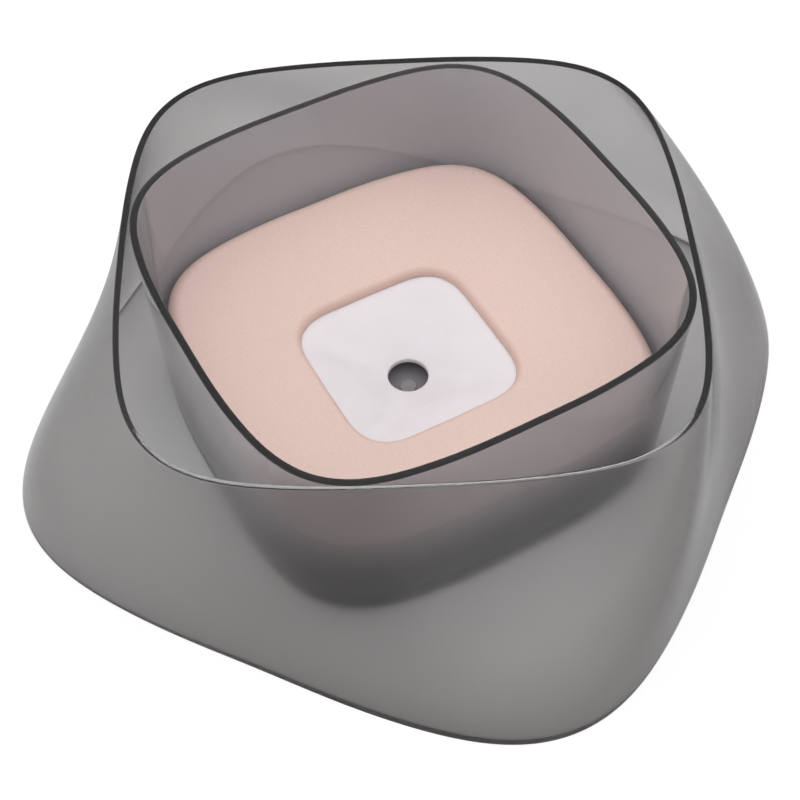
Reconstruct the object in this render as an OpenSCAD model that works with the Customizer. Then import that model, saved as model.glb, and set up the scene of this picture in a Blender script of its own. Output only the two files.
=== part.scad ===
// Floating drinking bowl for dogs: a twisted clear skirt, a lift-out bowl on a
// soft ring, and a two-piece float whose dish lets a little water through.
// Millimetres. Origin at the middle of the foot, on the table, +Z up.

/* [Skirt] */
// Height of the outer shell
skirt_h = 83; // [70:1:100]
// Width of its foot across the flats
foot_w = 250; // [235:1:290]
// Width of its rim across the flats
rim_w = 194; // [190:1:215]
// Direction of the first foot corner, degrees from +X
foot_turn = 20; // [0:1:45]
// How far the rim turns from the foot, degrees
skirt_twist = 27; // [15:1:35]
// Flare of the wall, 1 is straight, more is steeper at the foot
flare_curve = 1.2; // [1:0.05:1.5]
// Spread of the twist up the wall, 1 is even
twist_curve = 1.25; // [1:0.05:1.6]
// Thickness of the skirt's wall
skirt_wall = 2.3; // [1.8:0.1:3]
// Slope of its rim down towards the inside, degrees
skirt_rim_slope = 22; // [0:1:30]
// Rounding of the rim's edges
skirt_rim_round = 0.35; // [0.2:0.05:0.8]
// Rounding of the skirt's foot edge
skirt_foot_round = 0.5; // [0.2:0.1:0.9]

/* [Bowl] */
// Step from the skirt's rim down to the bowl's rim
rim_step = 1.2; // [0.8:0.1:6]
// Least clearance between the bowl's rim and the skirt's mouth
rim_gap = 0.5; // [0.4:0.1:3]
// Turn of the bowl from the skirt's rim, degrees
bowl_turn = 26; // [20:1:45]
// Draft of the bowl's wall, degrees
bowl_draft = 2; // [1:0.25:4]
// Thickness of the bowl's wall
bowl_wall = 2.5; // [1.8:0.1:3]
// Thickness of the bowl's floor
floor_t = 2.6; // [2:0.1:4]
// Space between the table and the middle of the floor
floor_lift = 3.4; // [3.2:0.1:6]
// Rounding of its flat rim's edges
bowl_rim_round = 0.35; // [0.2:0.05:0.8]
// Rounding between the wall and the underside
bowl_foot_round = 3; // [1:0.25:4]
// Rounding inside between the wall and the floor
bowl_well_round = 5; // [2:0.5:9]
// Width of the round gate mark on the floor
gate_d = 6.4; // [4:0.2:10]
// Height of the gate mark
gate_h = 0.8; // [0.4:0.1:1.5]

/* [Grip ring] */
// Width of the soft ring under the bowl
grip_w = 5; // [3:0.5:6]
// Height of the soft ring
grip_h = 3; // [2:0.1:3]
// How far the ring stands out of its groove
grip_proud = 1.2; // [0.6:0.1:1.8]
// From the bowl's outer wall to the groove
grip_margin = 4.4; // [3.6:0.2:6]
// Width of the land inside the groove
grip_land = 2.2; // [1.5:0.1:4]
// Clearance at each side of the ring
grip_gap = 0.15; // [0.05:0.05:0.4]
// Chamfer of the ring's lower edges
grip_chamfer = 0.5; // [0.2:0.1:0.9]

/* [Float] */
// Clearance between the float and the bowl's wall
float_gap = 2.3; // [1.5:0.1:4]
// Height of the float's side
float_side = 12.8; // [10:0.2:16]
// Thickness of the float's cover
cover_wall = 2; // [1.5:0.1:2.5]
// Rounding of the cover's outer edge
cover_round = 4; // [3:0.25:6]
// Width of the window across the flats
window_w = 65; // [50:1:80]
// Rounding of the window's lip
lip_round = 3.6; // [3:0.2:5]
// Upright foot of the lip, above the tray
lip_foot = 0.6; // [0.4:0.1:2]
// Fall of the top from the outer edge to the lip
top_fall = 10.2; // [5:0.2:14]
// Thickness of the tray
tray_wall = 2; // [1.5:0.1:2.5]
// Clearance between the tray's edge and the cover
tray_gap = 0.2; // [0.1:0.05:0.4]
// Width of the tray's flat seat under the lip
seat_w = 5; // [3:0.5:8]
// Depth of the dish, from its edge to the water hole
dish_depth = 11.3; // [6:0.2:16]
// Width of the water hole
hole_d = 15.2; // [10:0.2:22]
// Chamfer round the water hole
hole_chamfer = 0.5; // [0.2:0.1:1]
// Space between the bowl's floor and the underside of the hole
hole_rise = 4.8; // [2:0.2:8]
// Width of the float's feet
leg_d = 5; // [4:0.5:6]
// Distance of the feet from the middle
leg_reach = 24; // [16:0.5:28]
// Clearance under the feet when the bowl is dry
leg_gap = 0.3; // [0.2:0.05:0.5]

/* [Hidden] */

// shape of each rounded square: the shares of its 4, 8 and 12 fold waves
foot_shares = [0.083, 0.009, 0.002];
rim_shares = [0.082, 0.011, 0.002];
bowl_shares = [0.078, 0.009, 0.002];
float_shares = [0.083, 0.011, 0.003];
window_shares = [0.1, 0.014, 0];
crease_shares = [0.115, 0.026, 0.006];
round_shares = [0, 0, 0];
// points round each outline, bunched at the corners by this share
ring_steps = 72;
bunch_share = 0.35;
// steps up the skirt, round an edge, and down the dish
wall_steps = 11;
edge_steps = 3;
dish_steps = 6;
overrun = 1;

rim_turn = foot_turn + skirt_twist;
body_turn = rim_turn + bowl_turn;
foot_a = mean_of(foot_w, foot_shares);
rim_a = mean_of(rim_w, rim_shares);
window_a = mean_of(window_w, window_shares);

// the bowl is as wide as the narrowest level inside the skirt lets it be
mouth_z = rim_low(skirt_h, skirt_wall, skirt_rim_round, skirt_rim_slope);
bowl_h = skirt_h - rim_step;
bowl_a = min([
    for (i = [0 : ring_steps - 1])
        (skirt_reach(mouth_z, angle_at(i) + body_turn, skirt_wall) - rim_gap)
            / wave(bowl_shares, angle_at(i))
]);

floor_z = floor_lift + floor_t;
groove_z = grip_h;
groove_in = grip_margin - grip_gap;
groove_out = grip_margin + grip_w + grip_gap;
land_out = groove_out + grip_land;

// heights of the dry float, built up from the bowl's floor
dish_low = floor_z + hole_rise + tray_wall;
dish_top = dish_low + dish_depth;
lip_z = dish_top + lip_foot;
edge_z = lip_z + lip_round + top_fall - cover_round;
side_low = edge_z + cover_round - float_side;
float_a = bowl_a_at(side_low) - bowl_wall - float_gap;
float_run = float_a - window_a;
top_angle = atan2(edge_z - lip_z, float_run - lip_round - cover_round)
    + asin((cover_round - lip_round)
        / norm([float_run - lip_round - cover_round, edge_z - lip_z]));

// half width across the flats to mean radius, and back again by angle
function flat_share(s) = 1 - s[0] + s[1] - s[2];
function mean_of(w, s) = w / 2 / flat_share(s);
function wave(s, u) = 1 + s[0] * cos(4 * u) + s[1] * cos(8 * u) + s[2] * cos(12 * u);
function lean(s, u) =
    (4 * s[0] * sin(4 * u) + 8 * s[1] * sin(8 * u) + 12 * s[2] * sin(12 * u)) / wave(s, u);
function reach(a, s, u, inset) = a * wave(s, u) - inset * sqrt(1 + pow(lean(s, u), 2));
function mix(p, q, f) = p + (q - p) * f;

// the angle of point i, closer together where the outline bends
function angle_at(i) =
    360 * i / ring_steps - bunch_share * sin(4 * 360 * i / ring_steps) * 45 / PI;

function ring(a, s, turn, z, inset) = [
    for (i = [0 : ring_steps - 1])
        let (u = angle_at(i), r = reach(a, s, u, inset))
            [r * cos(u + turn), r * sin(u + turn), z]
];

// a rounded edge as [rise, inset] pairs from the side to the face
function edge_arc(r) = [
    for (i = [0 : edge_steps])
        let (q = 90 * i / edge_steps) [r * sin(q), r * (1 - cos(q))]
];
function backwards(v) = [for (i = [len(v) - 1 : -1 : 0]) v[i]];

// where a rim that falls inwards by the slope ends on the inner side
function edge_of(wall, r) = min(r, wall * 0.45);
function rim_low(top, wall, r, slope) =
    top - edge_of(wall, r) - (wall - 2 * edge_of(wall, r)) * tan(slope);

// that rim as [height, inset] pairs from the outer side to the inner
function rim_pts(top, wall, round, slope) =
    let (r = edge_of(wall, round)) concat([
        for (i = [0 : edge_steps])
            let (q = (90 + slope) * i / edge_steps)
                [top - r + r * sin(q), r - r * cos(q)]
    ], [
        for (i = [0 : edge_steps])
            let (q = 90 + slope + (90 - slope) * i / edge_steps)
                [rim_low(top, wall, round, slope) + r * sin(q), wall - r - r * cos(q)]
    ]);

// closed surface through rings of equal count
module loft(rings, closed) {
    n = ring_steps;
    m = len(rings);
    sides = [
        for (k = [0 : closed ? m - 1 : m - 2], i = [0 : n - 1])
            let (a = k * n, b = ((k + 1) % m) * n, j = (i + 1) % n)
                each [[a + i, b + i, b + j], [a + i, b + j, a + j]]
    ];
    mids = closed ? [] : [[0, 0, rings[0][0][2]], [0, 0, rings[m - 1][0][2]]];
    caps = closed ? [] : [
        for (i = [0 : n - 1])
            let (j = (i + 1) % n)
                each [[m * n, i, j], [m * n + 1, (m - 1) * n + j, (m - 1) * n + i]]
    ];
    polyhedron(points = concat([for (r = rings) each r], mids), faces = concat(sides, caps));
}

// skirt: mean radius, shape and turn all change with height
function flare_at(z) = pow(z / skirt_h, flare_curve);
function skirt_a(z) = mix(foot_a, rim_a, flare_at(z));
function skirt_shares(z) = mix(foot_shares, rim_shares, flare_at(z));
function skirt_turn(z) = foot_turn + skirt_twist * pow(z / skirt_h, twist_curve);
function skirt_reach(z, angle, inset) =
    reach(skirt_a(z), skirt_shares(z), angle - skirt_turn(z), inset);
function skirt_ring(z, inset) = ring(skirt_a(z), skirt_shares(z), skirt_turn(z), z, inset);

module skirt() {
    rim = rim_pts(skirt_h, skirt_wall, skirt_rim_round, skirt_rim_slope);
    fr = edge_of(skirt_wall, skirt_foot_round);
    high = rim[0][0];
    color([0.56, 0.55, 0.54, 0.5])
        loft(concat(
            [skirt_ring(0, fr)],
            [for (k = [0 : wall_steps - 1]) skirt_ring(mix(fr, high, k / wall_steps), 0)],
            [for (p = rim) skirt_ring(p[0], p[1])],
            [for (k = [wall_steps - 1 : -1 : 0])
                skirt_ring(mix(fr, mouth_z, k / wall_steps), skirt_wall)],
            [skirt_ring(0, skirt_wall - fr)]
        ), true);
}

// bowl: one shape all the way, drawn in towards the floor by its draft
function bowl_a_at(z) = bowl_a - (bowl_h - z) * tan(bowl_draft);
function bowl_ring(z, inset) = ring(bowl_a_at(z), bowl_shares, body_turn, z, inset);

module bowl() {
    rim = rim_pts(bowl_h, bowl_wall, bowl_rim_round, 0);
    fr = min(bowl_foot_round, groove_in - overrun / 2);
    wr = bowl_well_round;
    color([0.5, 0.48, 0.48, 0.5]) {
        loft(concat(
            [bowl_ring(floor_lift, land_out)],
            [bowl_ring(grip_proud, land_out)],
            [bowl_ring(grip_proud, groove_out)],
            [bowl_ring(groove_z, groove_out)],
            [bowl_ring(groove_z, groove_in)],
            [bowl_ring(grip_proud, groove_in)],
            [for (p = backwards(edge_arc(fr))) bowl_ring(grip_proud + fr - p[0], p[1])],
            [for (p = rim) bowl_ring(p[0], p[1])],
            [for (p = edge_arc(wr)) bowl_ring(floor_z + wr - p[0], bowl_wall + p[1])]
        ), false);
        gate_mark();
    }
}

// low round pad with a dimple, left by the mould in the middle of the floor
module gate_mark() {
    translate([0, 0, floor_z - floor_t / 2])
        difference() {
            cylinder(h = floor_t / 2 + gate_h, d = gate_d, $fn = 48);
            translate([0, 0, floor_t / 2 + gate_h / 2])
                cylinder(h = gate_h, d1 = gate_d / 8, d2 = gate_d / 2, $fn = 48);
        }
}

module grip_ring() {
    near = grip_margin;
    far = grip_margin + grip_w;
    c = min(grip_chamfer, grip_proud / 2);
    color([0.24, 0.24, 0.25])
        loft([
            bowl_ring(0, far - c),
            bowl_ring(0, near + c),
            bowl_ring(c, near),
            bowl_ring(grip_h, near),
            bowl_ring(grip_h, far),
            bowl_ring(c, far)
        ], true);
}

// float: rings run from its outer edge in to the window's edge
function float_ring(d, z) = [
    for (i = [0 : ring_steps - 1])
        let (
            u = angle_at(i),
            r = mix(reach(float_a, float_shares, u, 0), reach(window_a, window_shares, u, 0),
                d / float_run)
        ) [r * cos(u + body_turn), r * sin(u + body_turn), z]
];

// arcs of the cover's two edges, set in by the wall on the underside
function edge_pts(t) = [
    for (k = [0 : 4])
        let (q = (90 + top_angle) * k / 4, r = cover_round - t)
            [cover_round - r * cos(q), edge_z + r * sin(q)]
];
function lip_pts(t) = [
    for (k = [0 : 3])
        let (q = (90 - top_angle) * (1 - k / 3), r = lip_round - t)
            [float_run - lip_round + r * cos(q), lip_z + r * sin(q)]
];

module float_cover() {
    c = cover_wall / 5;
    color([0.9, 0.79, 0.75])
        loft(concat(
            [float_ring(c, side_low)],
            [float_ring(0, side_low + c)],
            [for (p = edge_pts(0)) float_ring(p[0], p[1])],
            [for (p = lip_pts(0)) float_ring(p[0], p[1])],
            [float_ring(float_run, dish_top)],
            [float_ring(float_run - cover_wall, dish_top)],
            [for (p = backwards(lip_pts(cover_wall))) float_ring(p[0], p[1])],
            [for (p = backwards(edge_pts(cover_wall))) float_ring(p[0], p[1])],
            [float_ring(cover_wall, side_low)]
        ), true);
}

// dish: a square funnel with soft creases that turns round at the water hole
lip_in = hole_d / 2 - hole_chamfer - overrun;
function dish_shares(f) = f < 0.5
    ? mix(window_shares, crease_shares, 2 * f)
    : mix(crease_shares, round_shares, 2 * f - 1);
function dish_a(f) = mix(window_a, lip_in, f);
function dish_z(f) = mix(dish_top, dish_low, f);
function dish_ring(f, drop) = ring(dish_a(f), dish_shares(f), body_turn, dish_z(f) - drop, 0);

module dish_void() {
    loft([for (k = [dish_steps : -1 : 0]) dish_ring(k > 0 ? k / dish_steps : -1 / dish_steps, 0)],
        false);
}

// the closed plate under the float with the funnel's outside
module tray_body() {
    edge = cover_wall + tray_gap;
    seat = float_run - seat_w;
    loft(concat(
        [for (k = [dish_steps : -1 : 0]) dish_ring(k / dish_steps, tray_wall)],
        [float_ring(seat, dish_top - tray_wall)],
        [float_ring(edge, side_low)],
        [float_ring(edge, side_low + tray_wall)],
        [float_ring(seat, dish_top)]
    ), false);
}

module float_tray() {
    hole_z = dish_z((window_a - hole_d / 2) / (window_a - lip_in));
    leg_low = floor_z + leg_gap;
    cut = hole_chamfer + overrun;
    color([0.89, 0.86, 0.88])
        difference() {
            union() {
                tray_body();
                for (k = [0 : 3])
                    rotate([0, 0, body_turn + 90 * k])
                        translate([leg_reach, 0, leg_low])
                            cylinder(h = dish_top - tray_wall - leg_low, d = leg_d, $fn = 32);
            }
            dish_void();
            translate([0, 0, dish_low - tray_wall - overrun])
                cylinder(h = dish_depth + tray_wall + 2 * overrun, d = hole_d, $fn = 64);
            translate([0, 0, hole_z - hole_chamfer])
                cylinder(h = cut, d1 = hole_d, d2 = hole_d + 2 * cut, $fn = 64);
        }
}

skirt();
bowl();
grip_ring();
float_cover();
float_tray();
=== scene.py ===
import math
import bmesh
import bpy
from mathutils import Matrix, Vector


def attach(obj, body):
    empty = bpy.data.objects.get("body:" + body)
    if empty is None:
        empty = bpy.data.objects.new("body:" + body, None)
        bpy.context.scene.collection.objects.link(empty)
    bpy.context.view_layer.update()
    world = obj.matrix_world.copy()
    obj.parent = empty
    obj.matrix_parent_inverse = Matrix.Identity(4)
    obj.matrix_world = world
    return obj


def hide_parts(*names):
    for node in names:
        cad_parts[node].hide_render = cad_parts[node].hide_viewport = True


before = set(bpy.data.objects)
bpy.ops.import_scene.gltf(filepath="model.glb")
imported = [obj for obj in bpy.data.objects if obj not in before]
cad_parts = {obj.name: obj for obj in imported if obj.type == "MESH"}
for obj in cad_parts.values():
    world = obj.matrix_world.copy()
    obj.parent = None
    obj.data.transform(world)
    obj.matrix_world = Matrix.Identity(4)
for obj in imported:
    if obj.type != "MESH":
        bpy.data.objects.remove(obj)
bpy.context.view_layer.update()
print("frame loaded:", sorted(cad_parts))

mm = 0.001
folds = (4, 8, 12)
noShares = (0.0, 0.0, 0.0)


# outlines: a rounded square is a mean radius and the shares of its 4, 8 and 12 fold waves
def outline(width, shares):
    flatShare = 1 - shares[0] + shares[1] - shares[2]
    return (width / 2 / flatShare, *shares)


def mix(a, b, share):
    return a + (b - a) * share


def mixShapes(a, b, share):
    return tuple(mix(p, q, share) for p, q in zip(a, b))


def mixRadii(a, b, share):  # mixes the radii themselves, so the waves are weighed by size
    mean = mix(a[0], b[0], share)
    waves = [mix(a[0] * p, b[0] * q, share) for p, q in zip(a[1:], b[1:])]
    return (mean, *[w / mean if mean > 0 else 0.0 for w in waves])


def steps(low, high, count):  # rows that crowd towards both ends
    return [mix(low, high, (1 - math.cos(math.pi * k / count)) / 2) for k in range(count + 1)]


def between(a, b, count):  # even points of a straight line, without its ends
    return [(mix(a[0], b[0], k / count), mix(a[1], b[1], k / count)) for k in range(1, count)]


def arc(inset, height, radius, start, end, count):  # angles from the outward direction, degrees
    turns = [math.radians(mix(start, end, k / count)) for k in range(count + 1)]
    return [(inset - radius * math.cos(a), height + radius * math.sin(a)) for a in turns]


def rimFace(top, wall, edge, slope, count):  # falls inwards by the slope
    fall = (wall - 2 * edge) * math.tan(math.radians(slope))
    outer = arc(edge, top - edge, edge, 0, 90 + slope, count)
    return outer + arc(wall - edge, top - edge - fall, edge, 90 + slope, 180, count)


# the section of a piece, drawn flat, with the outline that each point follows
pointData = ("mean", "wave4", "wave8", "wave12", "inset", "height")


def drawSection(name, points, closed):
    mesh = bpy.data.meshes.new(name)
    count = len(points)
    edges = [(k, (k + 1) % count) for k in range(count if closed else count - 1)]
    mesh.from_pydata([(-inset * mm, height * mm, 0) for _, inset, height in points], edges, [])
    for column, dataName in enumerate(pointData):
        values = []
        for shape, inset, height in points:
            row = (shape[0] * mm, *shape[1:], inset * mm, height * mm)
            values.append(row[column])
        mesh.attributes.new(dataName, "FLOAT", "POINT").data.foreach_set("value", values)
    piece = bpy.data.objects.new(name, mesh)
    bpy.context.scene.collection.objects.link(piece)
    return piece


# nodes, in Geometry Nodes trees and materials alike
def fill(tree, socket, value):  # with a number, a colour or a link
    if isinstance(value, (int, float)):
        socket.default_value = value
    elif isinstance(value, tuple):
        socket.default_value = (*value, 1)
    else:
        tree.links.new(value, socket)


def fieldMath(tree, operation, a, b=0.0):
    node = tree.nodes.new("ShaderNodeMath")
    node.operation = operation
    fill(tree, node.inputs[0], a)
    fill(tree, node.inputs[1], b)
    return node.outputs[0]


def newTree(name, inputs):
    tree = bpy.data.node_groups.new(name, "GeometryNodeTree")
    tree.interface.new_socket("Geometry", in_out="OUTPUT", socket_type="NodeSocketGeometry")
    tree.interface.new_socket("Geometry", in_out="INPUT", socket_type="NodeSocketGeometry")
    for title, kind, value in inputs:
        tree.interface.new_socket(title, in_out="INPUT", socket_type=kind).default_value = value
    tree.interface.new_socket("Material", in_out="INPUT", socket_type="NodeSocketMaterial")
    return tree, tree.nodes.new("NodeGroupInput").outputs


def endTree(tree, geometry, material):
    real = tree.nodes.new("GeometryNodeRealizeInstances")
    tree.links.new(geometry, real.inputs["Geometry"])
    paint = tree.nodes.new("GeometryNodeSetMaterial")
    tree.links.new(real.outputs["Geometry"], paint.inputs["Geometry"])
    tree.links.new(material, paint.inputs["Material"])
    tree.links.new(paint.outputs["Geometry"], tree.nodes.new("NodeGroupOutput").inputs["Geometry"])
    return tree


# Geometry Nodes: carries a section round the outlines
wrapSizes = {"around": 360, "bunching": 0.35, "height": 0.1, "weld": 0.001}


def makeWrapTree():
    tree, given = newTree("roundedSquareWrap", (
        ("Steps Around", "NodeSocketInt", wrapSizes["around"]),
        ("Corner Bunching", "NodeSocketFloat", wrapSizes["bunching"]),
        ("Foot Turn", "NodeSocketFloat", 0.0),
        ("Twist", "NodeSocketFloat", 0.0),
        ("Twist Curve", "NodeSocketFloat", 1.0),
        ("Height", "NodeSocketFloat", wrapSizes["height"]),
    ))
    nodes, links = tree.nodes, tree.links

    def calc(operation, a, b=0.0):
        return fieldMath(tree, operation, a, b)

    def pointValue(name):
        node = nodes.new("GeometryNodeInputNamedAttribute")
        node.data_type = "FLOAT"
        node.inputs["Name"].default_value = name
        return node.outputs["Attribute"]

    # a circle whose points are closer together where the outline bends
    circle = nodes.new("GeometryNodeCurvePrimitiveCircle")
    links.new(given["Steps Around"], circle.inputs["Resolution"])
    evenAngle = calc("MULTIPLY", nodes.new("GeometryNodeInputIndex").outputs[0], 2 * math.pi)
    evenAngle = calc("DIVIDE", evenAngle, given["Steps Around"])
    pull = calc("MULTIPLY", calc("SINE", calc("MULTIPLY", evenAngle, folds[0])), 1 / folds[0])
    bunched = calc("SUBTRACT", evenAngle, calc("MULTIPLY", pull, given["Corner Bunching"]))
    keepAngle = nodes.new("GeometryNodeStoreNamedAttribute")
    keepAngle.inputs["Name"].default_value = "angle"
    links.new(circle.outputs["Curve"], keepAngle.inputs["Geometry"])
    links.new(bunched, keepAngle.inputs["Value"])

    section = nodes.new("GeometryNodeMeshToCurve")
    links.new(given["Geometry"], section.inputs["Mesh"])
    sweep = nodes.new("GeometryNodeCurveToMesh")
    links.new(keepAngle.outputs["Geometry"], sweep.inputs["Curve"])
    links.new(section.outputs["Curve"], sweep.inputs["Profile Curve"])

    angle = pointValue("angle")
    wave, lean = 1.0, 0.0
    for fold in folds:
        share = pointValue("wave%d" % fold)
        folded = calc("MULTIPLY", angle, fold)
        wave = calc("ADD", calc("MULTIPLY", calc("COSINE", folded), share), wave)
        slope = calc("MULTIPLY", calc("MULTIPLY", calc("SINE", folded), share), fold)
        lean = calc("ADD", slope, lean)
    lean = calc("DIVIDE", lean, wave)
    stretch = calc("SQRT", calc("ADD", calc("MULTIPLY", lean, lean), 1.0))
    radius = calc("MULTIPLY", pointValue("mean"), wave)
    radius = calc("SUBTRACT", radius, calc("MULTIPLY", pointValue("inset"), stretch))

    height = pointValue("height")
    rise = calc("MAXIMUM", calc("DIVIDE", height, given["Height"]), 0.0)
    rise = calc("POWER", rise, given["Twist Curve"])
    turned = calc("ADD", calc("MULTIPLY", rise, given["Twist"]), given["Foot Turn"])
    turned = calc("ADD", turned, angle)
    place = nodes.new("ShaderNodeCombineXYZ")
    links.new(calc("MULTIPLY", radius, calc("COSINE", turned)), place.inputs["X"])
    links.new(calc("MULTIPLY", radius, calc("SINE", turned)), place.inputs["Y"])
    links.new(height, place.inputs["Z"])

    move = nodes.new("GeometryNodeSetPosition")
    links.new(sweep.outputs["Mesh"], move.inputs["Geometry"])
    links.new(place.outputs["Vector"], move.inputs["Position"])
    weld = nodes.new("GeometryNodeMergeByDistance")
    weld.inputs["Distance"].default_value = wrapSizes["weld"] * mm
    links.new(move.outputs["Geometry"], weld.inputs["Geometry"])
    return endTree(tree, weld.outputs["Geometry"], given["Material"])


def applyTree(piece, tree, values):  # runs the tree and keeps its result as a plain mesh
    modifier = piece.modifiers.new(tree.name, "NODES")
    modifier.node_group = tree
    for item in tree.interface.items_tree:
        if item.in_out == "INPUT" and item.name in values:
            modifier[item.identifier] = values[item.name]
    bpy.context.view_layer.update()
    result = piece.evaluated_get(bpy.context.evaluated_depsgraph_get())
    mesh = bpy.data.meshes.new_from_object(result)
    piece.modifiers.remove(modifier)
    drawn, piece.data = piece.data, mesh
    bpy.data.meshes.remove(drawn)
    for name in (*pointData, "angle"):
        if name in mesh.attributes:
            mesh.attributes.remove(mesh.attributes[name])
    mesh.name = piece.name
    return piece


def finishSurface(piece, sharpAngle=30.0):  # faces outwards, smooth but for real edges
    mesh = piece.data
    shape = bmesh.new()
    shape.from_mesh(mesh)
    if shape.calc_volume(signed=True) < 0:
        bmesh.ops.reverse_faces(shape, faces=shape.faces)
    openEdges = sum(1 for edge in shape.edges if len(edge.link_faces) != 2)
    shape.to_mesh(mesh)
    shape.free()
    mesh.shade_smooth()
    mesh.set_sharp_from_angle(angle=math.radians(sharpAngle))
    print(piece.name, "faces", len(mesh.polygons), "open edges", openEdges)
    return piece


def wrap(name, section, closed, values):
    return finishSurface(applyTree(drawSection(name, section, closed), wrapTree, values))


def dress(piece, body, node):
    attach(piece, body)
    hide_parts(node)
    return piece


wrapTree = makeWrapTree()
print("wrap tree ready")


# materials, all by the piece's own coordinates
def newMaterial(name):
    material = bpy.data.materials.new(name)
    material.use_nodes = True
    tree = material.node_tree
    return material, tree, tree.nodes["Principled BSDF"]


def objectNoise(tree, scale, detail=2.0, roughness=0.5):
    place = tree.nodes.new("ShaderNodeTexCoord")
    noise = tree.nodes.new("ShaderNodeTexNoise")
    noise.inputs["Scale"].default_value = scale
    noise.inputs["Detail"].default_value = detail
    noise.inputs["Roughness"].default_value = roughness
    tree.links.new(place.outputs["Object"], noise.inputs["Vector"])
    return noise.outputs[0]


def spread(tree, value, low, high, fromLow=0.3, fromHigh=0.7):  # to a new range, from the range of noise
    node = tree.nodes.new("ShaderNodeMapRange")
    node.inputs["From Min"].default_value = fromLow
    node.inputs["From Max"].default_value = fromHigh
    node.inputs["To Min"].default_value = low
    node.inputs["To Max"].default_value = high
    tree.links.new(value, node.inputs["Value"])
    return node.outputs["Result"]


def blend(tree, share, a, b, kind="FLOAT"):
    node = tree.nodes.new("ShaderNodeMix")
    node.data_type = kind
    for title, value in (("Factor", share), ("A", a), ("B", b)):
        fill(tree, node.inputs[title], value)
    return node.outputs["Result"]


def blendColours(tree, share, a, b):
    return blend(tree, share, a, b, "RGBA")


def addBump(tree, shader, value, depth, strength):
    bump = tree.nodes.new("ShaderNodeBump")
    bump.inputs["Strength"].default_value = strength
    bump.inputs["Distance"].default_value = depth * mm
    tree.links.new(value, bump.inputs["Height"])
    tree.links.new(bump.outputs["Normal"], shader.inputs["Normal"])


def objectPlace(tree):
    place = tree.nodes.new("ShaderNodeSeparateXYZ")
    tree.links.new(tree.nodes.new("ShaderNodeTexCoord").outputs["Object"], place.inputs["Vector"])
    return place.outputs


def fromOutline(tree, place, mean, shares, turn):  # distance outside a rounded square, less than 0 inside
    def calc(operation, a, b=0.0):
        return fieldMath(tree, operation, a, b)

    x, y = place["X"], place["Y"]
    angle = calc("SUBTRACT", calc("ARCTAN2", y, x), math.radians(turn))
    wave = 1.0
    for fold, share in zip(folds, shares):
        folded = calc("COSINE", calc("MULTIPLY", angle, fold))
        wave = calc("ADD", calc("MULTIPLY", folded, share), wave)
    squares = calc("ADD", calc("MULTIPLY", x, x), calc("MULTIPLY", y, y))
    return calc("SUBTRACT", calc("SQRT", squares), calc("MULTIPLY", wave, mean))


# smoke plastic: clear and tinted right through, polished at the rim, ground where it stands, and darkened
# there with painted shade where it meets the table
smokeLook = {
    "ior": 1.44, "cloud": 35.0, "cloudDetail": 3.0, "rimRough": 0.05, "fade": 0.1,
    # footShade is painted shade: a dark contact line where the plastic stands on the table
    "footHeight": 0.8, "footFade": 0.2, "footRough": 0.4, "footShade": (0.12, 0.11, 0.11),
    "clear": (1.0, 1.0, 1.0), "haze": (0.80, 0.77, 0.80),
    "filmInside": 0.31, "filmOutside": (0.06, 0.34),  # outside it is thinner low down
    "filmHeights": (25.0, 50.0), "filmFloor": 5.8, "filmDepth": (-0.6, -0.5),  # depths in walls
}


def filmShare(tree, place):  # a film of dried water on the bowl, none on its floor
    height = place["Z"]
    slant = math.tan(math.radians(bowlSizes["draft"]))
    foot = outline(bowlSizes["width"], bowlSizes["shares"])[0] - bowlSizes["height"] * slant
    mean = fieldMath(tree, "ADD", fieldMath(tree, "MULTIPLY", height, slant), foot * mm)
    depth = fromOutline(tree, place, mean, bowlSizes["shares"], bowlSizes["turn"])
    inner, outer = [share * bowlSizes["wall"] * mm for share in smokeLook["filmDepth"]]
    inside = spread(tree, depth, 1.0, 0.0, inner, outer)
    low, high = smokeLook["filmHeights"]
    outside = spread(tree, height, *smokeLook["filmOutside"], low * mm, high * mm)
    film = blend(tree, inside, outside, smokeLook["filmInside"])
    floor = smokeLook["filmFloor"]
    aboveFloor = spread(tree, height, 0.0, 1.0, (floor - smokeLook["fade"]) * mm, floor * mm)
    return fieldMath(tree, "MULTIPLY", film, aboveFloor)


def makeSmokePlastic(name, rough, tint, density, rimHeight, milky):  # polished above rimHeight
    look = smokeLook
    material, tree, shader = newMaterial(name)
    shader.inputs["IOR"].default_value = look["ior"]
    shader.inputs["Transmission Weight"].default_value = 1.0
    place = objectPlace(tree)
    height = place["Z"]
    polished = spread(tree, height, 0.0, 1.0, (rimHeight - look["fade"]) * mm, rimHeight * mm)
    foot = look["footHeight"]
    groundAndPaintedShade = spread(tree, height, 1.0, 0.0, (foot - look["footFade"]) * mm, foot * mm)
    # painted shade: the lowest 0.8 mm takes a dark colour, standing in for the contact shade along the table
    colour = blendColours(tree, groundAndPaintedShade, look["haze"] if milky else look["clear"], look["footShade"])
    tree.links.new(colour, shader.inputs["Base Color"])
    wall = spread(tree, objectNoise(tree, look["cloud"], look["cloudDetail"]), *rough)
    wall = blend(tree, groundAndPaintedShade, wall, look["footRough"])
    tree.links.new(blend(tree, polished, wall, look["rimRough"]), shader.inputs["Roughness"])
    if milky:
        clear = fieldMath(tree, "SUBTRACT", 1.0, filmShare(tree, place))
        tree.links.new(blend(tree, polished, clear, 1.0), shader.inputs["Transmission Weight"])
    absorb = tree.nodes.new("ShaderNodeVolumeAbsorption")
    absorb.inputs["Color"].default_value = (*tint, 1)
    absorb.inputs["Density"].default_value = density
    tree.links.new(absorb.outputs["Volume"], tree.nodes["Material Output"].inputs["Volume"])
    return material


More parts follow.
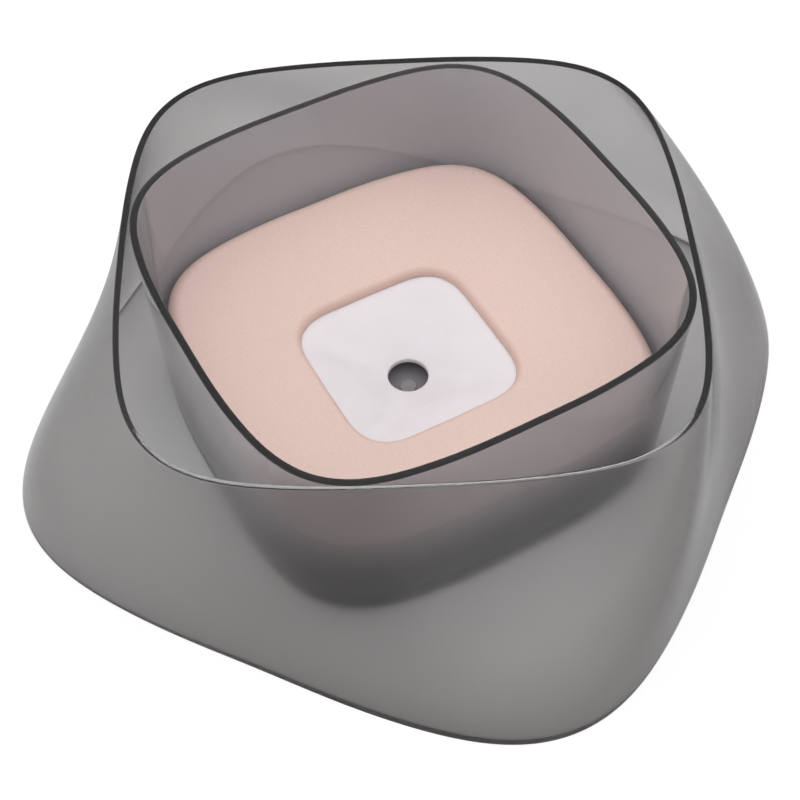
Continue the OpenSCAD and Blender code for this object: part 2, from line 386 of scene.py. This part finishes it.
# skirt: an outer wall that flares and twists from its rim to the table
skirtSizes = {
    "height": 83.0, "footWidth": 250.0, "rimWidth": 194.0, "wall": 2.3,
    "footTurn": 20.0, "twist": 27.0, "flareCurve": 1.2, "twistCurve": 1.25,
    "rimSlope": 22.0, "rimRound": 0.35, "footRound": 0.5,
    "footShares": (0.083, 0.009, 0.002), "rimShares": (0.082, 0.011, 0.002),
    "rows": 44, "roundSteps": 6, "around": 480,
}


def skirtPoint(inset, height):
    sizes = skirtSizes
    rise = max(height / sizes["height"], 0.0) ** sizes["flareCurve"]
    foot = outline(sizes["footWidth"], sizes["footShares"])
    rim = outline(sizes["rimWidth"], sizes["rimShares"])
    return (mixShapes(foot, rim, rise), inset, height)


def makeSkirt():
    sizes = skirtSizes
    wall, foot, turns, rows = sizes["wall"], sizes["footRound"], sizes["roundSteps"], sizes["rows"]
    plastic = makeSmokePlastic("satinSmoke", rough=(0.13, 0.17), tint=(0.37, 0.325, 0.32), density=215.0,
                               rimHeight=82.0, milky=False)
    rim = rimFace(sizes["height"], wall, sizes["rimRound"], sizes["rimSlope"], turns)
    section = arc(foot, foot, foot, -90, 0, turns)[:-1]
    section += [(0.0, z) for z in steps(foot, rim[0][1], rows)][:-1] + rim
    section += [(wall, z) for z in reversed(steps(foot, rim[-1][1], rows))][1:]
    section += arc(wall - foot, foot, foot, 180, 270, turns)[1:]
    piece = wrap("skirtWall", [skirtPoint(*p) for p in section], True, {
        "Steps Around": sizes["around"], "Foot Turn": math.radians(sizes["footTurn"]),
        "Twist": math.radians(sizes["twist"]), "Twist Curve": sizes["twistCurve"],
        "Height": sizes["height"] * mm, "Material": plastic,
    })
    dress(piece, "skirt", "skirt")


makeSkirt()
print("skirt ready")

# bowl: upright walls with a little draft, a floor with a moulding mark and a groove below
bowlSizes = {
    "height": 81.8, "width": 166.7, "turn": 73.0, "draft": 2.0, "wall": 2.5,
    "floor": 2.6, "lift": 3.4, "rimRound": 0.35, "footRound": 3.0, "wellRound": 5.0,
    "shares": (0.078, 0.009, 0.002), "rows": 36, "roundSteps": 6, "around": 480,
    "grooveHeight": 3.0, "grooveIn": 4.25, "grooveOut": 9.55, "land": 2.2, "proud": 1.2,
    "underSteps": (1.0, 0.97, 0.85, 0.6, 0.3, 0.1, 0.02), "floorSteps": (0.02, 0.1, 0.25, 0.45, 0.65, 0.8),
    "gateMark": ((5.2, 0.0), (3.5, 0.0), (3.2, 0.12), (3.15, 0.6), (2.95, 0.8),  # radius and rise
                 (1.6, 0.8), (3.2 / 3, 0.56), (0.4, 0.4), (0.0, 0.4)),
}
bowlFloor = bowlSizes["lift"] + bowlSizes["floor"]


def bowlShape(height):
    mean, *shares = outline(bowlSizes["width"], bowlSizes["shares"])
    return (mean - (bowlSizes["height"] - height) * math.tan(math.radians(bowlSizes["draft"])), *shares)


def bowlPoint(inset, height):
    return (bowlShape(height), inset, height)


def inwards(inset, height, share):  # towards the axis, the outline turning round on its way
    shape = bowlShape(height)
    return (mixRadii(shape, (0.0, *noShares), share), inset * (1 - share), height)


def wrapInputs(around, material):  # for a piece that stands square to the bowl
    return {"Steps Around": around, "Foot Turn": math.radians(bowlSizes["turn"]), "Material": material}


def makeBowl():
    sizes = bowlSizes
    wall, foot, well, turns = sizes["wall"], sizes["footRound"], sizes["wellRound"], sizes["roundSteps"]
    low, groove, near, far = sizes["proud"], sizes["grooveHeight"], sizes["grooveIn"], sizes["grooveOut"]
    plastic = makeSmokePlastic("hazySmoke", rough=(0.02, 0.05), tint=(0.335, 0.32, 0.34), density=400.0,
                               rimHeight=81.4, milky=True)
    rim = rimFace(sizes["height"], wall, sizes["rimRound"], 0.0, turns)
    landIn = far + sizes["land"]
    section = [inwards(landIn, sizes["lift"], share) for share in sizes["underSteps"]]
    outer = [(landIn, sizes["lift"]), (landIn, low), (far, low), (far, groove), (near, groove), (near, low)]
    outer += arc(foot, low + foot, foot, -90, 0, turns)
    outer += [(0.0, z) for z in steps(low + foot, rim[0][1], sizes["rows"])][1:-1] + rim
    outer += [(wall, z) for z in steps(rim[-1][1], bowlFloor + well, sizes["rows"])][1:]
    outer += arc(wall + well, bowlFloor + well, well, 180, 270, 2 * turns)[1:]
    section += [bowlPoint(*p) for p in outer]
    section += [inwards(wall + well, bowlFloor, share) for share in sizes["floorSteps"]]
    section += [((radius, *noShares), 0.0, bowlFloor + rise) for radius, rise in sizes["gateMark"]]
    piece = wrap("bowlShell", section, False, wrapInputs(sizes["around"], plastic))
    dress(piece, "bowl", "bowl")


makeBowl()
print("bowl ready")

# soft ring in the bowl's groove
ringSizes = {"near": 4.4, "far": 9.4, "height": 2.95, "edge": 0.5, "roundSteps": 4, "around": 360}
ringLook = {
    "grain": 1200.0, "grainDetail": 3.0, "grainRough": 0.6, "grainDepth": 0.08, "bump": 0.6,
    "dark": (0.028, 0.026, 0.027), "light": (0.045, 0.042, 0.043), "rough": (0.7, 0.85),
}


def makeSoftRing():
    look = ringLook
    material, tree, shader = newMaterial("softRing")
    grain = objectNoise(tree, look["grain"], look["grainDetail"], look["grainRough"])
    colour = blendColours(tree, spread(tree, grain, 0, 1), look["dark"], look["light"])
    tree.links.new(colour, shader.inputs["Base Color"])
    tree.links.new(spread(tree, grain, *look["rough"]), shader.inputs["Roughness"])
    addBump(tree, shader, grain, look["grainDepth"], look["bump"])
    return material


def makeRing():
    sizes = ringSizes
    near, far, height = sizes["near"], sizes["far"], sizes["height"]
    edge, turns = sizes["edge"], sizes["roundSteps"]
    section = arc(near + edge, edge, edge, -90, 0, turns) + [(near, height), (far, height)]
    section += arc(far - edge, edge, edge, 180, 270, turns)
    section = [bowlPoint(*p) for p in section]
    piece = wrap("gripRing", section, True, wrapInputs(sizes["around"], makeSoftRing()))
    dress(piece, "bowl", "grip_ring")


makeRing()
print("ring ready")

# float: a pink cover over a white tray whose middle is a creased dish
floatSizes = {
    "gap": 2.3, "side": 12.8, "coverWall": 2.0, "edgeRound": 4.0, "topFall": 10.2, "seam": 0.6,
    "windowWidth": 66.6, "lipRound": 3.6, "lipFoot": 0.6, "trayWall": 2.0, "trayGap": 0.2, "seat": 5.0,
    "dishDepth": 11.3, "dishEnd": 6.1,  # the radius where the dish would end if it had no hole
    "holeWidth": 15.2, "holeRise": 4.8, "holeEdge": 0.5,
    "holeCorner": ((1.0, 0.0), (0.5, 0.25), (0.15, 0.6), (0.0, 1.0)),  # out and down, in hole edges
    "shares": (0.083, 0.011, 0.003), "windowShares": (0.1, 0.014, 0.0), "creaseShares": (0.14, 0.042, 0.012),
    "footWidth": 5.0, "footReach": 24.0, "footGap": 0.3, "footCount": 4, "footSides": 40,
    "footTop": 0.6,  # the share of the dish's fall where a foot ends, inside the dish's wall
    "around": 480, "dishRows": 40, "underRow": 4,  # every fourth row is enough under the dish
    "edgeSteps": (14, 8), "lipSteps": (12, 6), "slopeSteps": 24, "seamSteps": 4,  # outside and inside
}
dishLow = bowlFloor + floatSizes["holeRise"] + floatSizes["trayWall"]
dishTop = dishLow + floatSizes["dishDepth"]
lipHeight = dishTop + floatSizes["lipFoot"]
edgeHeight = lipHeight + floatSizes["lipRound"] + floatSizes["topFall"] - floatSizes["edgeRound"]
sideLow = edgeHeight + floatSizes["edgeRound"] - floatSizes["side"]
floatShape = (bowlShape(sideLow)[0] - bowlSizes["wall"] - floatSizes["gap"], *floatSizes["shares"])
windowShape = outline(floatSizes["windowWidth"], floatSizes["windowShares"])
floatRun = floatShape[0] - windowShape[0]


def topSlope():  # the angle of the line that touches both roundings of the top
    edge, lip = floatSizes["edgeRound"], floatSizes["lipRound"]
    run, rise = floatRun - lip - edge, edgeHeight - lipHeight
    return math.degrees(math.atan2(rise, run) + math.asin((edge - lip) / math.hypot(run, rise)))


topAngle = topSlope()

pinkLook = {
    "dark": (0.725, 0.535, 0.478), "light": (0.79, 0.60, 0.54), "grain": 1500.0, "grainDetail": 2.0,
    "grainRough": 0.6, "grainDepth": 0.06, "bump": 0.5, "worn": 60.0, "rough": (0.56, 0.66), "shine": 0.4,
    # the lip colours are painted shade, for the lip's face that turns away from the light
    "paintedLipShadeDark": (0.66, 0.455, 0.39), "paintedLipShadeLight": (0.70, 0.50, 0.435), "paintedLipShadeReach": (0.6, 2.6),
}
whiteLook = {
    "dark": (0.79, 0.75, 0.775), "light": (0.81, 0.77, 0.80), "cloud": 90.0, "rough": (0.12, 0.15),
    "grain": 700.0, "grainDetail": 1.0, "grainDepth": 0.02, "bump": 0.3,
}


def makePinkPlastic():  # painted shade: the pink is darker round the window, standing in for the shaded face of the lip
    look = pinkLook
    material, tree, shader = newMaterial("pinkPlastic")
    grain = objectNoise(tree, look["grain"], look["grainDetail"], look["grainRough"])
    fleck = spread(tree, grain, 0, 1)
    top = blendColours(tree, fleck, look["dark"], look["light"])
    lip = blendColours(tree, fleck, look["paintedLipShadeDark"], look["paintedLipShadeLight"])
    mean, *shares = windowShape
    distance = fromOutline(tree, objectPlace(tree), mean * mm, shares, bowlSizes["turn"])
    inner, outer = look["paintedLipShadeReach"]
    # painted shade: the pink darkens to the lip colours within 0.6 to 2.6 mm of the window
    colour = blendColours(tree, spread(tree, distance, 1.0, 0.0, inner * mm, outer * mm), top, lip)
    tree.links.new(colour, shader.inputs["Base Color"])
    tree.links.new(spread(tree, objectNoise(tree, look["worn"]), *look["rough"]), shader.inputs["Roughness"])
    shader.inputs["Specular IOR Level"].default_value = look["shine"]
    addBump(tree, shader, grain, look["grainDepth"], look["bump"])
    return material


def makeWhitePlastic():
    look = whiteLook
    material, tree, shader = newMaterial("whitePlastic")
    cloud = objectNoise(tree, look["cloud"])
    colour = blendColours(tree, spread(tree, cloud, 0, 1), look["dark"], look["light"])
    tree.links.new(colour, shader.inputs["Base Color"])
    tree.links.new(spread(tree, cloud, *look["rough"]), shader.inputs["Roughness"])
    grain = objectNoise(tree, look["grain"], look["grainDetail"])
    addBump(tree, shader, grain, look["grainDepth"], look["bump"])
    return material


def floatPoint(depth, height):  # depth runs from the float's outer edge in to its window
    return (mixRadii(floatShape, windowShape, depth / floatRun), 0.0, height)


def edgeArc(wall, count):
    edge = floatSizes["edgeRound"]
    return arc(edge, edgeHeight, edge - wall, 0, 90 + topAngle, count)


def lipArc(wall, count):
    lip = floatSizes["lipRound"]
    return arc(floatRun - lip, lipHeight, lip - wall, 90 + topAngle, 180, count)


def makeCover():
    sizes = floatSizes
    wall, seam, seamSteps = sizes["coverWall"], sizes["seam"], sizes["seamSteps"]
    edge, lip = edgeArc(0, sizes["edgeSteps"][0]), lipArc(0, sizes["lipSteps"][0])
    section = arc(seam, sideLow + seam, seam, -90, 0, seamSteps)
    section += edge + between(edge[-1], lip[0], sizes["slopeSteps"]) + lip
    section += arc(floatRun - seam, dishTop + seam, seam, 180, 270, seamSteps) + [(floatRun - wall, dishTop)]
    section += lipArc(wall, sizes["lipSteps"][1])[::-1] + edgeArc(wall, sizes["edgeSteps"][1])[::-1]
    section.append((wall, sideLow))
    section = [floatPoint(*p) for p in section]
    piece = wrap("floatCover", section, True, wrapInputs(sizes["around"], pinkPlastic))
    dress(piece, "float", "float_cover")


def dishShape(share):
    window, crease = floatSizes["windowShares"], floatSizes["creaseShares"]
    if share < 0.5:
        waves = mixShapes(window, crease, 2 * share)
    else:
        waves = mixShapes(crease, noShares, 2 * share - 1)
    return (mix(windowShape[0], floatSizes["dishEnd"], share), *waves)


def dishPoint(share, drop):
    return (dishShape(share), 0.0, mix(dishTop, dishLow, share) - drop)


def makeTray():
    sizes = floatSizes
    hole, edge, wall, rows = sizes["holeWidth"] / 2, sizes["holeEdge"], sizes["trayWall"], sizes["dishRows"]
    last = (windowShape[0] - hole - edge) / (windowShape[0] - sizes["dishEnd"])
    holeTop = mix(dishTop, dishLow, last)
    shares = [last * k / rows for k in range(rows)]
    corner = [(out * edge, holeTop - down * edge) for out, down in sizes["holeCorner"]]
    corner.append((0.0, holeTop - wall))
    section = [dishPoint(share, 0.0) for share in shares]
    section += [((hole + out, *noShares), 0.0, height) for out, height in corner]
    section += [dishPoint(share, wall) for share in shares[::-sizes["underRow"]]]
    rim, seat = sizes["coverWall"] + sizes["trayGap"], floatRun - sizes["seat"]
    plate = [(seat, dishTop - wall), (rim, sideLow), (rim, sideLow + wall), (seat, dishTop)]
    section += [floatPoint(*p) for p in plate]
    piece = wrap("floatTray", section, True, wrapInputs(sizes["around"], whitePlastic))
    dress(piece, "float", "float_tray")


def makeFeetTree():  # Geometry Nodes: round feet at even angles round the middle
    tree, given = newTree("floatFeet", (
        ("Foot Radius", "NodeSocketFloat", 0.0),
        ("Foot Height", "NodeSocketFloat", 0.0),
        ("Foot Sides", "NodeSocketInt", 0),
        ("Lowest", "NodeSocketFloat", 0.0),
        ("Reach", "NodeSocketFloat", 0.0),
        ("First Turn", "NodeSocketFloat", 0.0),
        ("Count", "NodeSocketInt", 0),
    ))
    nodes, links = tree.nodes, tree.links

    def calc(operation, a, b=0.0):
        return fieldMath(tree, operation, a, b)

    spots = nodes.new("GeometryNodeMeshLine")
    links.new(given["Count"], spots.inputs["Count"])
    order = nodes.new("GeometryNodeInputIndex").outputs[0]
    turn = calc("DIVIDE", calc("MULTIPLY", order, 2 * math.pi), given["Count"])
    turn = calc("ADD", turn, given["First Turn"])
    place = nodes.new("ShaderNodeCombineXYZ")
    links.new(calc("MULTIPLY", given["Reach"], calc("COSINE", turn)), place.inputs["X"])
    links.new(calc("MULTIPLY", given["Reach"], calc("SINE", turn)), place.inputs["Y"])
    links.new(calc("ADD", given["Lowest"], calc("MULTIPLY", given["Foot Height"], 0.5)), place.inputs["Z"])
    move = nodes.new("GeometryNodeSetPosition")
    links.new(spots.outputs["Mesh"], move.inputs["Geometry"])
    links.new(place.outputs["Vector"], move.inputs["Position"])
    foot = nodes.new("GeometryNodeMeshCylinder")
    links.new(given["Foot Sides"], foot.inputs["Vertices"])
    links.new(given["Foot Radius"], foot.inputs["Radius"])
    links.new(given["Foot Height"], foot.inputs["Depth"])
    repeat = nodes.new("GeometryNodeInstanceOnPoints")
    links.new(move.outputs["Geometry"], repeat.inputs["Points"])
    links.new(foot.outputs["Mesh"], repeat.inputs["Instance"])
    return endTree(tree, repeat.outputs["Instances"], given["Material"])


def makeFeet():
    sizes = floatSizes
    low, high = bowlFloor + sizes["footGap"], mix(dishTop, dishLow, sizes["footTop"])
    piece = bpy.data.objects.new("floatFeet", bpy.data.meshes.new("floatFeet"))
    bpy.context.scene.collection.objects.link(piece)
    applyTree(piece, makeFeetTree(), {
        "Foot Radius": sizes["footWidth"] / 2 * mm, "Foot Height": (high - low) * mm,
        "Foot Sides": sizes["footSides"], "Lowest": low * mm, "Reach": sizes["footReach"] * mm,
        "First Turn": math.radians(bowlSizes["turn"]), "Count": sizes["footCount"], "Material": whitePlastic,
    })
    dress(finishSurface(piece), "float", "float_tray")


pinkPlastic, whitePlastic = makePinkPlastic(), makeWhitePlastic()
makeCover()
makeTray()
makeFeet()
print("float ready")

# camera: solved from the outlines, in the 800 by 800 frame
view = {
    "elevation": 52.893, "roll": -1.136, "distance": 552.5, "focal": 1442.46, "frame": 800.0,
    "target": (-3.209, 0.0, -2.070), "sensor": 36.0, "clip": (0.01, 20.0),
}


def makeCamera():
    tilt, roll = math.radians(view["elevation"]), math.radians(view["roll"])
    ahead = Vector((0, math.cos(tilt), -math.sin(tilt)))
    right, up = Vector((1, 0, 0)), Vector((0, math.sin(tilt), math.cos(tilt)))
    across = right * math.cos(roll) + up * math.sin(roll)
    above = up * math.cos(roll) - right * math.sin(roll)
    data = bpy.data.cameras.new("camera")
    data.sensor_width = view["sensor"]
    data.lens = data.sensor_width * view["focal"] / view["frame"]
    data.clip_start, data.clip_end = view["clip"]
    camera = bpy.data.objects.new("camera", data)
    place = (Vector(view["target"]) - ahead * view["distance"]) * mm
    camera.matrix_world = Matrix.Translation(place) @ Matrix((across, above, -ahead)).transposed().to_4x4()
    bpy.context.scene.collection.objects.link(camera)
    bpy.context.scene.camera = camera


# studio: a white room with three soft lamps, and paper that shines white but for under the bowl, with a
# painted shadow beside the bowl where it is seen through the plastic
studio = {
    "roomLow": 0.4, "roomHigh": 1.47,  # the light it gives, brighter overhead
    "roomSeen": 1.0,  # the white that is seen, reflected and seen through plastic
    "floorSize": 6.0, "floorDrop": 0.02, "floorRough": 0.9,
    "shadowShare": 0.1, "paperLit": 0.95,  # the share of the white that takes shadows, and its brightness
    "paperUnder": 0.76, "paperShadowBeside": 0.5,  # seen through the plastic, the paper is darker beside the bowl, a painted shadow
    "paintedShadowFrom": (-15.0, 25.0), "whiteFrom": (150.0, 380.0), "footFrom": (-2.0, -0.5),  # mm outside the foot
    "lamps": (
        ("backLamp", (0.0, 1.3, 0.35), (0.9, 0.56), 7.5),
        ("rightLamp", (1.15, -0.45, 0.7), (0.5, 0.7), 2.0),
        ("leftLamp", (-1.3, -0.45, 0.55), (0.9, 0.9), 6.0),
    ),
}


def seenDirectly(tree):  # 1 for camera rays, and 1 for glossy and transmission rays
    rays = tree.nodes.new("ShaderNodeLightPath").outputs
    through = fieldMath(tree, "MAXIMUM", rays["Is Glossy Ray"], rays["Is Transmission Ray"])
    return rays["Is Camera Ray"], through


def makeRoom():
    world = bpy.data.worlds.new("room")
    bpy.context.scene.world = world
    world.use_nodes = True
    tree = world.node_tree
    way = tree.nodes.new("ShaderNodeSeparateXYZ")
    tree.links.new(tree.nodes.new("ShaderNodeTexCoord").outputs["Generated"], way.inputs["Vector"])
    light = spread(tree, way.outputs["Z"], studio["roomLow"], studio["roomHigh"], 0.0, 1.0)
    seen = fieldMath(tree, "MAXIMUM", *seenDirectly(tree))
    tree.nodes["Background"].inputs["Color"].default_value = (1, 1, 1, 1)
    tree.links.new(blend(tree, seen, light, studio["roomSeen"]), tree.nodes["Background"].inputs["Strength"])


def makeFloor():
    half = studio["floorSize"] / 2
    mesh = bpy.data.meshes.new("floor")
    corners = [(-half, -half, 0), (half, -half, 0), (half, half, 0), (-half, half, 0)]
    mesh.from_pydata(corners, [], [(0, 1, 2, 3)])
    floor = bpy.data.objects.new("floor", mesh)
    floor.location.z = -studio["floorDrop"] * mm
    bpy.context.scene.collection.objects.link(floor)
    material, tree, shader = newMaterial("paperFloor")
    shader.inputs["Roughness"].default_value = studio["floorRough"]
    shader.inputs["Specular IOR Level"].default_value = 0.0
    foot, *shares = outline(skirtSizes["footWidth"], skirtSizes["footShares"])
    distance = fromOutline(tree, objectPlace(tree), foot * mm, shares, skirtSizes["footTurn"])

    def beyond(name, low=0.0, high=1.0):
        near, far = studio[name]
        return spread(tree, distance, low, high, near * mm, far * mm)

    camera, through = seenDirectly(tree)
    byCamera = fieldMath(tree, "MULTIPLY", camera, beyond("footFrom"))
    byPlastic = fieldMath(tree, "MULTIPLY", through, beyond("whiteFrom"))
    white = fieldMath(tree, "ADD", byCamera, byPlastic)
    # painted shadow: the paper darkens from 0.76 under the bowl to 0.5 just outside its foot
    paperAndShadow = beyond("paintedShadowFrom", studio["paperUnder"], studio["paperShadowBeside"])
    tree.links.new(blend(tree, white, paperAndShadow, studio["shadowShare"]), shader.inputs["Base Color"])
    shader.inputs["Emission Color"].default_value = (1, 1, 1, 1)
    glow = fieldMath(tree, "MULTIPLY", white, 1.0 - studio["shadowShare"] * studio["paperLit"])
    tree.links.new(glow, shader.inputs["Emission Strength"])
    mesh.materials.append(material)


def makeLamps():
    for name, place, size, power in studio["lamps"]:
        data = bpy.data.lights.new(name, "AREA")
        data.shape = "RECTANGLE"
        data.size, data.size_y = size
        data.energy = power
        lamp = bpy.data.objects.new(name, data)
        lamp.location = place
        lamp.rotation_mode = "QUATERNION"
        lamp.rotation_quaternion = (-Vector(place)).to_track_quat("-Z", "Y")
        bpy.context.scene.collection.objects.link(lamp)


makeCamera()
makeRoom()
makeFloor()
makeLamps()
bpy.context.scene.view_settings.view_transform = "Standard"
print("camera and studio ready")
